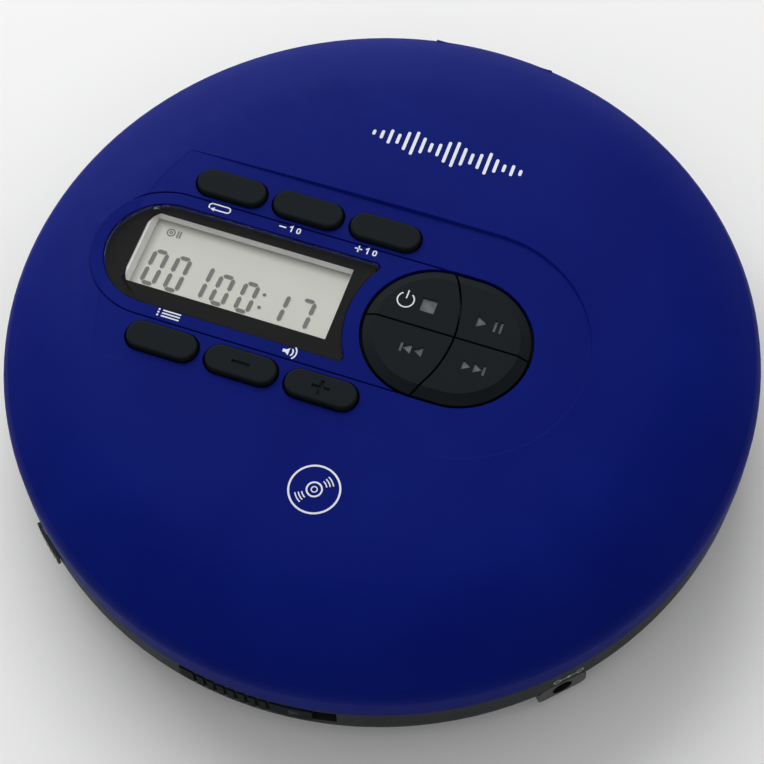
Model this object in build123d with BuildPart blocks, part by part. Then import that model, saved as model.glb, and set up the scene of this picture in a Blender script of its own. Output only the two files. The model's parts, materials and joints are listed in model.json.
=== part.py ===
from build123d import *
import math
import os

# A portable disc player: a round clamshell with a hinged lid that carries the display and the
# keys, and a base that carries the drive, the cells, the jacks and the two rim controls.
# Millimetres. +Z is up, the front (lid release) is -Y, the hinge is at +Y, and the origin is at the
# bottom centre. Rim positions use the front angle: 0 at -Y, growing towards +X.
os.makedirs("parts", exist_ok=True)

LOW = (Align.CENTER, Align.CENTER, Align.MIN)

# ---- driving dimensions ----
disc_radius = 60.0            # the standard disc that the whole case is drawn around
case_radius = 70.0            # outside of the lid
parting = 13.5                # height of the joint between base and lid
parting_gap = 0.3
foot_height = 0.6             # how far the feet hold the case off the table

# base
base_radius = case_radius - 0.3
base_wall = 2.0
base_floor = 1.6
floor_top = foot_height + base_floor
bottom_rounding = 7.5
rounding_top = foot_height + bottom_rounding

# deck
deck_under = 16.7
deck_thick = 1.0
deck_top = deck_under + deck_thick
well_radius = disc_radius + 1.0
rim_thick = 1.4
rim_top = 20.5
deck_skirt_radius = base_radius - base_wall - 0.2
disc_seat = 18.7

# lid
apex = 29.3
shoulder_radius = 51.5
shoulder_z = 28.65
panel_z = 28.6                # flat panel that is sunk into the dome
lid_wall = 1.8
liner_under = 22.2
liner_thick = 1.0
flange_low, flange_high = 26.2, 26.8
stem_low = 25.9
proud = 1.0                   # how far buttons and keys stand above the panel

# display and controls
pod_x = -42.9                 # centre of the rounded left end of the display
pod_half = 13.45
window_half = 10.8
window_arc = 18.9
cluster_x = 12.64             # centre of the oval key cluster
cluster_stretch = 2.3         # from its centre to the centre of each round end
cluster_hole = 13.65
key_radius = 13.05
key_flange = 1.6
key_bevel = 1.9
divider_x, divider_radius = -9.4, 23.5
key_gap = 0.4
button_length, button_width = 13.5, 5.5
button_pitch = 15.3
button_row = 17.4
button_x0 = -35.7
lcd_left, lcd_right, lcd_half, lcd_y = -47.1, -8.7, 7.36, 1.0

# hinge
hinge_y, hinge_z = 66.5, parting
knuckle_radius = 3.2
pin_radius = 1.0
lid_knuckle = (5.6, 12.0)
base_knuckle = (12.5, 21.5)
pin_half = 16.0                # the pin ends where the round rim comes close to it
notch_half = 22.5

# drive
board_low, board_thick = 2.8, 0.8
board_top = board_low + board_thick
plate_low, plate_thick = 12.2, 1.0
plate_top = plate_low + plate_thick
shaft_radius = 1.0
rod_y, rod_z, rod_radius = 11.0, 10.5, 1.25
lens_start = 24.0             # lens radius with the pickup at the lead-in
sled_back, sled_ahead = 9.0, 6.0
gear_module = 0.6
tooth_pitch = math.pi * gear_module
rack_line = -15.6
idler_small, idler_large, pinion_teeth = 14, 40, 12
idler_x = 27.0
idler_y = rack_line - idler_small * gear_module / 2
mesh_angle = -40.0
mesh_distance = (idler_large + pinion_teeth) * gear_module / 2
motor_x = idler_x + mesh_distance * math.cos(math.radians(mesh_angle))
motor_y = idler_y + mesh_distance * math.sin(math.radians(mesh_angle))
damper_places = [(-14.0, 18.0), (-14.0, -26.0), (43.0, 21.0), (52.0, -22.0)]

# power
cell_radius, cell_length = 7.1, 50.5
cell_x = (-50.0, -35.2)
cell_z = floor_top + cell_radius + 0.1
bay_left, bay_right, bay_half, bay_wall = -57.6, -27.4, 27.2, 1.0
door_hinge_x, door_hinge_z, door_barrel = -28.6, 1.6, 1.0

# rim fittings, by front angle in degrees
slider_start, slider_end = -11.0, 9.4
slider_low, slider_high = 8.6, 12.4
slot_start, slot_end = -11.2, 12.9
hold_angle = -40.0
dc_angle, dc_z, dc_reach = 46.5, 5.1, 69.6
dc_width, dc_height = 9.6, 4.8
phone_angle, phone_z, phone_depth = 115.0, 8.0, 13.5

# screws and feet
lid_screw_places = [(x, y) for x in (-42, 42) for y in (-36, 36)]
base_screw_places = [(-22, 50), (26, 50), (-22, -52), (22, -54)]
deck_screw_angles = (30, 150, 210, 330)
deck_screw_radius = 64.9
foot_places = [(x, y) for x in (-40, 40) for y in (-37, 37)]


# ---- small helpers ----
def finish(builder, name):
    """Label the piece and write it."""
    builder.part.label = name
    export_step(builder.part, f"parts/{name}.step")


def block(x0, x1, y0, y1, z0, z1, mode=Mode.ADD):
    """A box between two corners."""
    with Locations(((x0 + x1) / 2, (y0 + y1) / 2, z0)):
        Box(x1 - x0, y1 - y0, z1 - z0, align=LOW, mode=mode)


def post(x, y, radius, z0, z1, mode=Mode.ADD):
    """An upright cylinder from z0 to z1."""
    with Locations((x, y, z0)):
        Cylinder(radius, z1 - z0, align=LOW, mode=mode)


def rod_along(axis, place, radius, length, mode=Mode.ADD):
    """A cylinder centred on place, along X or Y."""
    turn = (0, 90, 0) if axis == "x" else (90, 0, 0)
    with Locations(place):
        Cylinder(radius, length, rotation=turn, mode=mode)


def turned(points, x=0.0, y=0.0, mode=Mode.ADD):
    """A solid of revolution about the upright line through (x, y)."""
    plane = Plane(origin=(x, y, 0), x_dir=(1, 0, 0), z_dir=(0, -1, 0))
    with BuildSketch(plane) as section:
        with BuildLine():
            Polyline(*points, close=True)
        make_face()
    revolve(section.sketch, axis=Axis((x, y, 0), (0, 0, 1)), mode=mode)


def rim_point(radius, angle):
    """A point on a circle about the centre, by its front angle."""
    return (radius * math.sin(math.radians(angle)), -radius * math.cos(math.radians(angle)))


def sector(inner, outer, start, end, z0, z1, mode=Mode.ADD):
    """Part of a ring between two radii, two front angles and two heights."""
    middle = (start + end) / 2
    with BuildSketch(Plane.XY.offset(z0)) as section:
        with BuildLine():
            ThreePointArc(rim_point(outer, start), rim_point(outer, middle), rim_point(outer, end))
            Line(rim_point(outer, end), rim_point(inner, end))
            ThreePointArc(rim_point(inner, end), rim_point(inner, middle), rim_point(inner, start))
            Line(rim_point(inner, start), rim_point(outer, start))
        make_face()
    extrude(section.sketch, amount=z1 - z0, mode=mode)


def radial_plane(angle, radius, z):
    """A plane that faces outwards from the rim, with its own Y upwards."""
    x, y = rim_point(radius, angle)
    out_x, out_y = rim_point(1.0, angle)
    return Plane(origin=(x, y, z), x_dir=(-out_y, out_x, 0), z_dir=(out_x, out_y, 0))


def radial_peg(angle, z, radius, r0, r1, mode=Mode.ADD):
    """A cylinder that points outwards from radius r0 to radius r1."""
    with BuildSketch(radial_plane(angle, r0, z)) as section:
        Circle(radius)
    extrude(section.sketch, amount=r1 - r0, mode=mode)


def radial_block(angle, z, width, height, r0, r1, rounding=0.0, mode=Mode.ADD):
    """A box that points outwards from radius r0 to radius r1."""
    with BuildSketch(radial_plane(angle, r0, z)) as section:
        if rounding:
            RectangleRounded(width, height, rounding)
        else:
            Rectangle(width, height)
    extrude(section.sketch, amount=r1 - r0, mode=mode)


def gear_wheel(x, y, teeth, z0, z1, first_tooth):
    """A spur gear with straight-sided teeth; first_tooth is the angle of one tooth."""
    pitch_radius = teeth * gear_module / 2
    root = pitch_radius - 1.25 * gear_module
    tip = pitch_radius + 0.9 * gear_module
    foot_half, tip_half = 0.29 * tooth_pitch, 0.13 * tooth_pitch
    with BuildSketch(Plane(origin=(x, y, z0))) as section:
        Circle(root)
        with PolarLocations(0, teeth, start_angle=first_tooth):
            Polygon((root - 0.3, -foot_half), (tip, -tip_half), (tip, tip_half), (root - 0.3, foot_half),
                    align=None)
    extrude(section.sketch, amount=z1 - z0)


def coil(start, direction, radius, wire, pitch, height):
    """A round wire wound on a helix."""
    with BuildLine() as path:
        Helix(pitch=pitch, height=height, radius=radius, center=start, direction=direction)
    with BuildSketch(Plane(origin=path.line @ 0, z_dir=path.line % 0)) as section:
        Circle(wire)
    sweep(section.sketch, path=path.line, is_frenet=True)


def screws(name, places, head_radius, head, shank_radius, shank):
    """Cross-slotted screws; head and shank are (low, high) heights, and the slot is in the open face."""
    head_up = head[1] > shank[1]
    with BuildPart() as piece:
        for x, y in places:
            post(x, y, head_radius, *head)
            post(x, y, shank_radius, *shank)
            slot = (head[1] - 0.4, head[1]) if head_up else (head[0], head[0] + 0.4)
            block(x - head_radius * 0.65, x + head_radius * 0.65, y - 0.2, y + 0.2, *slot, mode=Mode.SUBTRACT)
            block(x - 0.2, x + 0.2, y - head_radius * 0.65, y + head_radius * 0.65, *slot, mode=Mode.SUBTRACT)
    finish(piece, name)


# ---- lid ----
def lid_body():
    """The outer form of the lid: dome, shoulder, rounded edge and wall, as a shell."""
    with BuildSketch(Plane.XZ) as section:
        with BuildLine():
            ThreePointArc((0, apex), (shoulder_radius / 2, apex - (apex - shoulder_z) / 4),
                          (shoulder_radius, shoulder_z))
            ThreePointArc((shoulder_radius, shoulder_z), (60.63, 26.1), (68.8, 21.3))
            ThreePointArc((68.8, 21.3), (69.66, 20.1), (case_radius, 18.7))
            Line((case_radius, 18.7), (case_radius, parting + parting_gap))
            Line((case_radius, parting + parting_gap), (case_radius - lid_wall, parting + parting_gap))
            Line((case_radius - lid_wall, parting + parting_gap), (case_radius - lid_wall, 18.4))
            ThreePointArc((case_radius - lid_wall, 18.4), (67.85, 19.5), (67.0, 20.4))
            ThreePointArc((67.0, 20.4), (59.93, 24.44), (51.0, apex - 2.45))
            ThreePointArc((51.0, apex - 2.45), (25.5, apex - lid_wall - 0.16), (0, apex - lid_wall))
            Line((0, apex - lid_wall), (0, apex))
        make_face()
    revolve(section.sketch, axis=Axis.Z)


def cluster_oval(radius, mode=Mode.ADD):
    """The oval of the key cluster, drawn in the current sketch."""
    SlotOverall(2 * (radius + cluster_stretch), 2 * radius, mode=mode)


def window_outline(grow):
    """The display window: a round left end and a hollow right end that follows the key cluster."""
    half = window_half + grow
    with BuildSketch() as outline:
        with Locations((pod_x, 0)):
            Circle(half)
        with Locations(((pod_x + 0) / 2, 0)):
            Rectangle(-pod_x, 2 * half)
        with Locations((cluster_x, 0)):
            Circle(window_arc - grow, mode=Mode.SUBTRACT)
        fillet(outline.vertices().group_by(Axis.X)[-1], 1.0)
    return outline.sketch


def build_lid_shell():
    with BuildPart() as lid:
        lid_body()
        # the sunk panel, with a sloped wall, runs out where its plane meets the dome
        with BuildSketch(Plane.XY.offset(panel_z)):
            with Locations((15.5, 0)):
                Circle(23.2)
            with Locations(((15.5 - 62) / 2, 0)):
                Rectangle(15.5 + 62, 46.4)
        extrude(amount=1.2, taper=-40, mode=Mode.SUBTRACT)
        # display pod, thick enough to hold the window and to carry the display frame
        with BuildSketch(Plane.XY.offset(26.0)):
            with Locations(((pod_x + cluster_x) / 2, 0)):
                SlotOverall(cluster_x - pod_x + 2 * pod_half, 2 * pod_half)
            with Locations((cluster_x, 0)):
                cluster_oval(key_radius + key_flange + 0.6, Mode.SUBTRACT)
            with Locations((cluster_x + 20, 0)):
                Rectangle(40, 60, mode=Mode.SUBTRACT)
        extrude(amount=panel_z - 26.0)
        # fine groove around the pod
        with BuildSketch(Plane.XY.offset(panel_z)):
            with Locations(((pod_x + cluster_x) / 2, 0)):
                SlotOverall(cluster_x - pod_x + 2 * pod_half + 0.3, 2 * pod_half + 0.3)
                SlotOverall(cluster_x - pod_x + 2 * pod_half - 0.3, 2 * pod_half - 0.3, mode=Mode.SUBTRACT)
            with Locations((cluster_x + 20, 0)):
                Rectangle(48.9, 60, mode=Mode.SUBTRACT)
        extrude(amount=-0.3, mode=Mode.SUBTRACT)
        # pocket for the window, and the opening under it
        extrude(Plane.XY.offset(27.3) * window_outline(0.1), amount=3, mode=Mode.SUBTRACT)
        block(lcd_left - 1.5, lcd_right + 1.5, lcd_y - lcd_half - 1.5, lcd_y + lcd_half + 1.5, 25, 28,
              mode=Mode.SUBTRACT)
        # key cluster and the six oval buttons
        with BuildSketch(Plane.XY.offset(24)):
            with Locations((cluster_x, 0)):
                cluster_oval(cluster_hole)
            with Locations(*button_places()):
                SlotOverall(button_length + 0.8, button_width + 0.8)
        extrude(amount=7, mode=Mode.SUBTRACT)
        # bosses for the liner screws
        for x, y in lid_screw_places:
            post(x, y, 2.6, 24.6, 26.8)
            post(x, y, 0.95, 23, 26.5, mode=Mode.SUBTRACT)
        # hinge: the wall is cut away at the back, and two arms come down to the pin
        block(-notch_half, notch_half, 60, 71, 13, 19, mode=Mode.SUBTRACT)
        for side in (-1, 1):
            x0, x1 = sorted(side * value for value in lid_knuckle)
            block(x0, x1, 64.3, 68.0, hinge_z, 21.5)
            rod_along("x", ((x0 + x1) / 2, hinge_y, hinge_z), knuckle_radius, x1 - x0)
        sector(case_radius + 0.05, case_radius + 9, 160, 200, 9, 18, mode=Mode.SUBTRACT)
        rod_along("x", (0, hinge_y, hinge_z), pin_radius + 0.05, 40, mode=Mode.SUBTRACT)
        # release hook at the front
        block(-3, 3, -64.4, -63.2, 11.4, 23.0)
        block(-3, 3, -65.0, -64.4, 11.4, 12.3)
    finish(lid, "lid_shell")


def build_lid_liner():
    with BuildPart() as liner:
        liner_top = liner_under + liner_thick
        turned([(0, liner_under), (61, liner_under), (61, liner_under + 0.5),
                (60.5, liner_top), (0, liner_top)])
        # shallow dish above the hub
        post(0, 0, 12, liner_under, liner_under + 0.3, mode=Mode.SUBTRACT)
        for x, y in lid_screw_places:
            post(x, y, 3.2, liner_under, 24.6)
            post(x, y, 2.4, liner_under, 23.4, mode=Mode.SUBTRACT)
            post(x, y, 1.1, 23.4, 24.6, mode=Mode.SUBTRACT)
        # studs under the control board
        for x, y in [(-46, -18), (-46, 18), (30, -16), (30, 16)]:
            post(x, y, 1.6, liner_under + liner_thick, 23.6)
    finish(liner, "lid_liner")


def build_display():
    with BuildPart() as window:
        extrude(Plane.XY.offset(27.3) * window_outline(0.0), amount=1.2)
        chamfer(window.edges().group_by(Axis.Z)[-1], 0.15)
    finish(window, "display_window")

    wide, tall = lcd_right - lcd_left, 2 * lcd_half
    centre = (lcd_left + lcd_right) / 2
    with BuildPart() as bezel:
        block(lcd_left - 1.4, lcd_right + 1.4, lcd_y - lcd_half - 1.4, lcd_y + lcd_half + 1.4, 26.0, 27.2)
        with BuildSketch(Plane.XY.offset(26.0)):
            with Locations((centre, lcd_y)):
                Rectangle(wide, tall)
        extrude(amount=1.2, taper=-35, mode=Mode.SUBTRACT)
    finish(bezel, "display_bezel")

    with BuildPart() as lcd:
        block(lcd_left - 2.4, lcd_right + 2.0, lcd_y - lcd_half - 2.4, lcd_y + lcd_half + 2.4, 24.4, 25.4)
        block(lcd_left - 2.0, lcd_right + 1.6, lcd_y - lcd_half - 1.6, lcd_y + lcd_half + 1.6, 25.4, 25.95)
    finish(lcd, "lcd_panel")

    with BuildPart() as board:
        with BuildSketch(Plane.XY.offset(23.6)):
            with Locations((-9, 0)):
                SlotOverall(86, 43)
        extrude(amount=0.8)
    finish(board, "control_board")


def button_places():
    """Centres of the six oval buttons, the upper row first."""
    return [(button_x0 + i * button_pitch, side * button_row) for side in (1, -1) for i in range(3)]


def key_centres():
    """Places of the switches under the four keys."""
    left, right, side = 5.0, 20.4, 6.6
    return {"key_stop": (left, side), "key_play": (right, side),
            "key_previous": (left, -side), "key_next": (right, -side)}


def build_switches():
    with BuildPart() as switches:
        for x, y in button_places() + list(key_centres().values()):
            block(x - 2.3, x + 2.3, y - 2.3, y + 2.3, 24.4, 25.0)
            post(x, y, 1.2, 25.0, 25.3)
    finish(switches, "tact_switches")


def cut_symbol(kind, x, y, size, top):
    """Sink a plain sign into the face of a button or key."""
    with BuildSketch(Plane.XY.offset(top)) as sign:
        if kind in ("minus", "plus"):
            with Locations((x, y)):
                Rectangle(3.4, 0.7)
                if kind == "plus":
                    Rectangle(0.7, 2.9)
        if kind == "stop":
            with Locations((x, y)):
                Rectangle(size, size)
        if kind in ("play", "next"):
            for step in ((0,) if kind == "play" else (-0.5, 0.5)):
                with Locations((x + step * size, y)):
                    Triangle(a=size, b=size, c=size, rotation=-90)
        if kind == "previous":
            for step in (-0.5, 0.5):
                with Locations((x + step * size, y)):
                    Triangle(a=size, b=size, c=size, rotation=90)
        if kind in ("play", "next"):
            with Locations((x + size * 1.15, y)):
                Rectangle(0.55, size)
        if kind == "previous":
            with Locations((x - size * 1.15, y)):
                Rectangle(0.55, size)
        if kind == "play":
            with Locations((x + size * 1.6, y)):
                Rectangle(0.55, size)
    extrude(sign.sketch, amount=-0.3, mode=Mode.SUBTRACT)


def build_buttons():
    names = ["button_mode", "button_skip_back_ten", "button_skip_ahead_ten",
             "button_program", "button_volume_down", "button_volume_up"]
    signs = {"button_volume_down": "minus", "button_volume_up": "plus"}
    top = panel_z + proud
    for name, (x, y) in zip(names, button_places()):
        with BuildPart() as button:
            with BuildSketch(Plane.XY.offset(flange_high)):
                with Locations((x, y)):
                    SlotOverall(button_length, button_width)
            extrude(amount=top - flange_high)
            fillet(button.edges().group_by(Axis.Z)[-1], 0.45)
            with BuildSketch(Plane.XY.offset(flange_low)):
                with Locations((x, y)):
                    SlotOverall(button_length + 1.4, button_width + 2.0)
            extrude(amount=flange_high - flange_low)
            post(x, y, 1.5, stem_low, flange_low)
            if name in signs:
                cut_symbol(signs[name], x, y, 0, top)
        finish(button, name)


def build_keys():
    """Four keys cut from one bevelled oval by a straight divider and a curved one."""
    top = panel_z + proud
    signs = {"key_stop": ("stop", 7.6, 4.7, 2.8), "key_play": ("play", 17.6, 4.5, 2.4),
             "key_previous": ("previous", 8.0, -4.75, 2.1), "key_next": ("next", 18.8, -4.8, 2.1)}
    for name, (x, y) in key_centres().items():
        left = x < cluster_x
        upper = y > 0
        with BuildPart() as key:
            shoulder = top - 1.1
            for radius, low, high in ((key_radius + key_flange, flange_low, flange_high),
                                      (key_radius, flange_high, shoulder)):
                with BuildSketch(Plane.XY.offset(low)):
                    with Locations((cluster_x, 0)):
                        cluster_oval(radius)
                extrude(amount=high - low)
            for radius, level in ((key_radius, shoulder), (key_radius - key_bevel, top)):
                with BuildSketch(Plane.XY.offset(level)):
                    with Locations((cluster_x, 0)):
                        cluster_oval(radius)
            loft()
            half = -1 if upper else 1
            y0, y1 = sorted((-half * key_gap / 2, half * 20))
            block(cluster_x - 20, cluster_x + 20, y0, y1, 25, 31, mode=Mode.SUBTRACT)
            if left:
                with BuildSketch(Plane.XY.offset(25)):
                    with Locations((cluster_x, 0)):
                        Circle(20)
                    with Locations((divider_x, 0)):
                        Circle(divider_radius - key_gap / 2, mode=Mode.SUBTRACT)
                extrude(amount=6, mode=Mode.SUBTRACT)
            else:
                post(divider_x, 0, divider_radius + key_gap / 2, 25, 31, mode=Mode.SUBTRACT)
            post(x, y, 1.5, stem_low, flange_low)
            kind, sign_x, sign_y, size = signs[name]
            cut_symbol(kind, sign_x, sign_y, size, top)
        finish(key, name)


def build_hinge():
    with BuildPart() as pin:
        rod_along("x", (0, hinge_y, hinge_z), pin_radius, 2 * pin_half)
    finish(pin, "hinge_pin")

    with BuildPart() as spring:
        coil((-4.6, hinge_y, hinge_z), (1, 0, 0), 1.9, 0.32, 0.92, 9.2)
    finish(spring, "hinge_spring")


# ---- base ----
def base_form(inner):
    """The outer form of the base, solid, or as a shell where inner is true."""
    with BuildSketch(Plane.XZ) as section:
        with BuildLine():
            flat = base_radius - bottom_rounding
            turn = bottom_rounding * math.sin(math.radians(45))
            Line((0, foot_height), (flat, foot_height))
            ThreePointArc((flat, foot_height), (flat + turn, rounding_top - turn),
                          (base_radius, rounding_top))
            Line((base_radius, rounding_top), (base_radius, parting))
            if inner:
                wall = base_radius - base_wall
                inner_round = rounding_top - floor_top
                turn = inner_round * math.sin(math.radians(45))
                centre = wall - inner_round
                Line((base_radius, parting), (wall, parting))
                Line((wall, parting), (wall, rounding_top))
                ThreePointArc((wall, rounding_top), (centre + turn, rounding_top - turn), (centre, floor_top))
                Line((centre, floor_top), (0, floor_top))
                Line((0, floor_top), (0, foot_height))
            else:
                Line((base_radius, parting), (0, parting))
                Line((0, parting), (0, foot_height))
        make_face()
    revolve(section.sketch, axis=Axis.Z)


def build_base_shell():
    wall_in = base_radius - base_wall
    with BuildPart() as base:
        base_form(True)
        # battery bay: four walls over an opening in the floor
        block(bay_left - bay_wall, bay_right + bay_wall, -bay_half - bay_wall, bay_half + bay_wall, 2.0, 16.5)
        block(bay_left, bay_right, -bay_half, bay_half, 1.9, 17, mode=Mode.SUBTRACT)
        block(bay_left - 0.3, bay_right, -bay_half - 0.3, bay_half + 0.3, 0, 2.0, mode=Mode.SUBTRACT)
        rod_along("y", (door_hinge_x, 0, door_hinge_z), 0.65, 2 * bay_half + 2.4, mode=Mode.SUBTRACT)
        # posts for the drive, with a shoulder under the main board
        for x, y in damper_places:
            post(x, y, 3.0, floor_top - 0.2, board_low)
            post(x, y, 1.6, floor_top - 0.2, 14.4)
            post(x, y, 0.85, 9, 15, mode=Mode.SUBTRACT)
        # cups for the bottom screws
        for x, y in base_screw_places:
            post(x, y, 3.2, floor_top - 0.2, 3.0)
            post(x, y, 2.5, 0, 1.9, mode=Mode.SUBTRACT)
            post(x, y, 1.1, 1.8, 3.2, mode=Mode.SUBTRACT)
        # bosses for the deck screws
        for angle in deck_screw_angles:
            x, y = rim_point(deck_screw_radius - 0.2, angle)
            post(x, y, 2.2, 3.2, deck_under)
            post(x, y, 0.95, 9, 17, mode=Mode.SUBTRACT)
        # shallow seats for the feet
        for x, y in foot_places:
            post(x, y, 4.1, 0, foot_height + 0.4, mode=Mode.SUBTRACT)
        # hinge notch and knuckles
        block(-notch_half, notch_half, 60, 71, 9.8, 14, mode=Mode.SUBTRACT)
        for side in (-1, 1):
            x0, x1 = sorted(side * value for value in base_knuckle)
            block(x0, x1, 63.9, 66.6, 8.0, hinge_z)
            rod_along("x", ((x0 + x1) / 2, hinge_y, hinge_z), knuckle_radius, x1 - x0)
        sector(base_radius + 0.05, base_radius + 9, 155, 205, 9, 18, mode=Mode.SUBTRACT)
        rod_along("x", (0, hinge_y, hinge_z), pin_radius + 0.02, 2 * pin_half + 0.1, mode=Mode.SUBTRACT)
        # slots for the lid release and the hold control, and the two jack openings
        sector(wall_in - 1, base_radius + 1, slot_start, slot_end, 8.5, 12.5, mode=Mode.SUBTRACT)
        sector(wall_in - 1, base_radius + 1, hold_angle - 1.6, hold_angle + 3.6, 8.7, 11.3,
               mode=Mode.SUBTRACT)
        radial_block(dc_angle, dc_z, dc_width + 0.3, dc_height + 0.3, 59.7, 72, 1.4, mode=Mode.SUBTRACT)
        radial_peg(phone_angle, phone_z, 3.15, 60, 72, mode=Mode.SUBTRACT)
        # anchor for the release spring
        sector(64.4, wall_in + 0.2, -21.5, -20.3, 6.0, 12.4)
    finish(base, "base_shell")


def build_deck():
    with BuildPart() as deck:
        turned([(0, deck_under), (deck_skirt_radius - 1.1, deck_under), (deck_skirt_radius - 1.1, 12.4),
                (deck_skirt_radius, 12.4), (deck_skirt_radius, deck_top), (well_radius + rim_thick, deck_top),
                (well_radius + rim_thick - 0.3, rim_top), (well_radius + 0.5, rim_top),
                (well_radius, rim_top - 0.5),
                (well_radius, deck_top), (0, deck_top)])
        # raised rings on the floor of the well
        for ring in (26.0, 58.0):
            turned([(ring, deck_top - 0.1), (ring + 0.8, deck_top - 0.1), (ring + 0.8, deck_top + 0.25),
                    (ring, deck_top + 0.25)])
        # openings over the hub and along the path of the lens
        post(0, 0, 15.2, 16, 18, mode=Mode.SUBTRACT)
        with BuildSketch(Plane.XY.offset(16)):
            with Locations(((10 + 61) / 2, 0)):
                RectangleRounded(51, 14, 2.0)
        extrude(amount=2.4, mode=Mode.SUBTRACT)
        # finger scallops in the rim, to lift the disc
        for angle in (72, -72, 180):
            x, y = rim_point(well_radius + 3.5, angle)
            post(x, y, 9.0, deck_top + 0.2, rim_top + 1, mode=Mode.SUBTRACT)
        # room for the lid arms, closed below by an apron
        block(-notch_half - 0.3, notch_half + 0.3, 62.9, 70, 10, 22, mode=Mode.SUBTRACT)
        block(-24, 24, 61.6, 62.8, 10.2, deck_top)
        # passage for the release hook
        block(-4.2, 4.2, -66.2, -62.5, 12, 18, mode=Mode.SUBTRACT)
        for angle in deck_screw_angles:
            x, y = rim_point(deck_screw_radius - 0.2, angle)
            post(x, y, 1.15, 16, 18, mode=Mode.SUBTRACT)
        # bosses that the bottom screws pull against
        for x, y in base_screw_places:
            post(x, y, 2.6, 3.0, deck_under + 0.2)
            post(x, y, 0.95, 2.9, 11, mode=Mode.SUBTRACT)
        # the skirt gives way to the screw bosses and to the release spring's anchor
        for angle in deck_screw_angles:
            x, y = rim_point(deck_screw_radius - 0.2, angle)
            post(x, y, 2.4, 10, deck_under, mode=Mode.SUBTRACT)
        sector(64, 68, -23, 15, 10, 14.2, mode=Mode.SUBTRACT)
        sector(64, 68, hold_angle - 6, hold_angle + 6, 10, 13.2, mode=Mode.SUBTRACT)
    finish(deck, "disc_deck")


def build_battery():
    with BuildPart() as door:
        base_form(False)
        block(-80, bay_left - 0.1, -80, 80, 0, 20, mode=Mode.SUBTRACT)
        block(door_hinge_x, 80, -80, 80, 0, 20, mode=Mode.SUBTRACT)
        block(-80, 80, bay_half + 0.1, 80, 0, 20, mode=Mode.SUBTRACT)
        block(-80, 80, -80, -bay_half - 0.1, 0, 20, mode=Mode.SUBTRACT)
        block(-80, 80, -80, 80, 1.8, 20, mode=Mode.SUBTRACT)
        rod_along("y", (door_hinge_x, 0, door_hinge_z), door_barrel, 2 * bay_half - 0.2)
        rod_along("y", (door_hinge_x, 0, door_hinge_z), 0.5, 2 * bay_half + 1.8)
        # finger grooves at the free edge
        for i in range(5):
            block(-54 + i * 2, -53 + i * 2, -8, 8, 0.5, 0.9, mode=Mode.SUBTRACT)
    finish(door, "battery_door")

    nub_radius, nub = 2.75, 1.0
    tip = bay_half - 0.4
    with BuildPart() as cells:
        for x, side in zip(cell_x, (1, -1)):
            body_end = side * (tip - nub)
            far_end = side * (tip - cell_length)
            rod_along("y", (x, (body_end + far_end) / 2, cell_z), cell_radius, cell_length - nub)
            rod_along("y", (x, side * (tip - nub / 2), cell_z), nub_radius, nub)
        fillet(cells.edges().filter_by(GeomType.CIRCLE).filter_by(lambda e: e.radius > 5), 0.6)
    finish(cells, "battery_cells")

    with BuildPart() as plates:
        block(bay_left + 1, bay_right - 1, tip, bay_half, 4.5, 14.0)
        for x in cell_x:
            block(x - 5, x + 5, -bay_half, -tip, 4.5, 14.0)
            block(x - 1.2, x + 1.2, -bay_half, -tip, 2.6, 4.5)
    finish(plates, "battery_plates")

    with BuildPart() as springs:
        for x, side in zip(cell_x, (-1, 1)):
            coil((x, side * (tip - 0.4), cell_z), (0, -side, 0), 3.0, 0.3, 0.8, 2.4)
    finish(springs, "battery_springs")


def board_outline(z0, thickness):
    """The main board: the round floor without the battery bay, with holes for what passes it."""
    with BuildSketch(Plane.XY.offset(z0)) as outline:
        Circle(63.6)
        with Locations((-60 - 24.6, 0)):
            Rectangle(120, 130, mode=Mode.SUBTRACT)
        with Locations(*damper_places):
            Circle(1.8, mode=Mode.SUBTRACT)
        with Locations(*base_screw_places):
            Circle(3.6, mode=Mode.SUBTRACT)
        with Locations(*[rim_point(deck_screw_radius, angle) for angle in deck_screw_angles]):
            Circle(2.8, mode=Mode.SUBTRACT)
    extrude(outline.sketch, amount=thickness)


def build_boards():
    with BuildPart() as board:
        board_outline(board_low, board_thick)
        radial_block(dc_angle, dc_z, 10.4, 8, 59.4, 72, mode=Mode.SUBTRACT)
    finish(board, "main_board")

    chips = [(4, 32, 9, 9, 1.1), (-12, 38, 7, 7, 1.0), (20, 34, 8, 5, 1.0), (2, -26, 10, 10, 1.1),
             (6, -42, 6, 8, 1.0), (-16, -6, 5, 4, 0.9), (48, 4, 6, 5, 0.9), (30, -44, 5, 4, 0.9)]
    with BuildPart() as parts:
        for x, y, wide, deep, tall in chips:
            block(x - wide / 2, x + wide / 2, y - deep / 2, y + deep / 2, board_top, board_top + tall)
            # rows of pins on two sides
            pins = int(wide // 1.2)
            for i in range(pins):
                pin_x = x + (i - (pins - 1) / 2) * 1.2
                for side in (-1, 1):
                    y0, y1 = sorted((y + side * deep / 2, y + side * (deep / 2 + 0.7)))
                    block(pin_x - 0.2, pin_x + 0.2, y0, y1, board_top, board_top + 0.3)
    finish(parts, "board_chips")

    capacitors = [(-8, -48, 3.0, 6.5), (0, -50, 2.5, 5.5), (8, 48, 3.0, 6.5), (0, 52, 2.5, 5.5),
                  (-14, 46, 2.0, 5.0),
                  (36, 40, 2.5, 5.5), (40, 34, 2.0, 5.0)]
    with BuildPart() as cans:
        for x, y, radius, tall in capacitors:
            block(x - radius, x + radius, y - radius, y + radius, board_top, board_top + 0.8)
            post(x, y, radius - 0.15, board_top + 0.8, board_top + tall)
    finish(cans, "board_capacitors")


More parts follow.
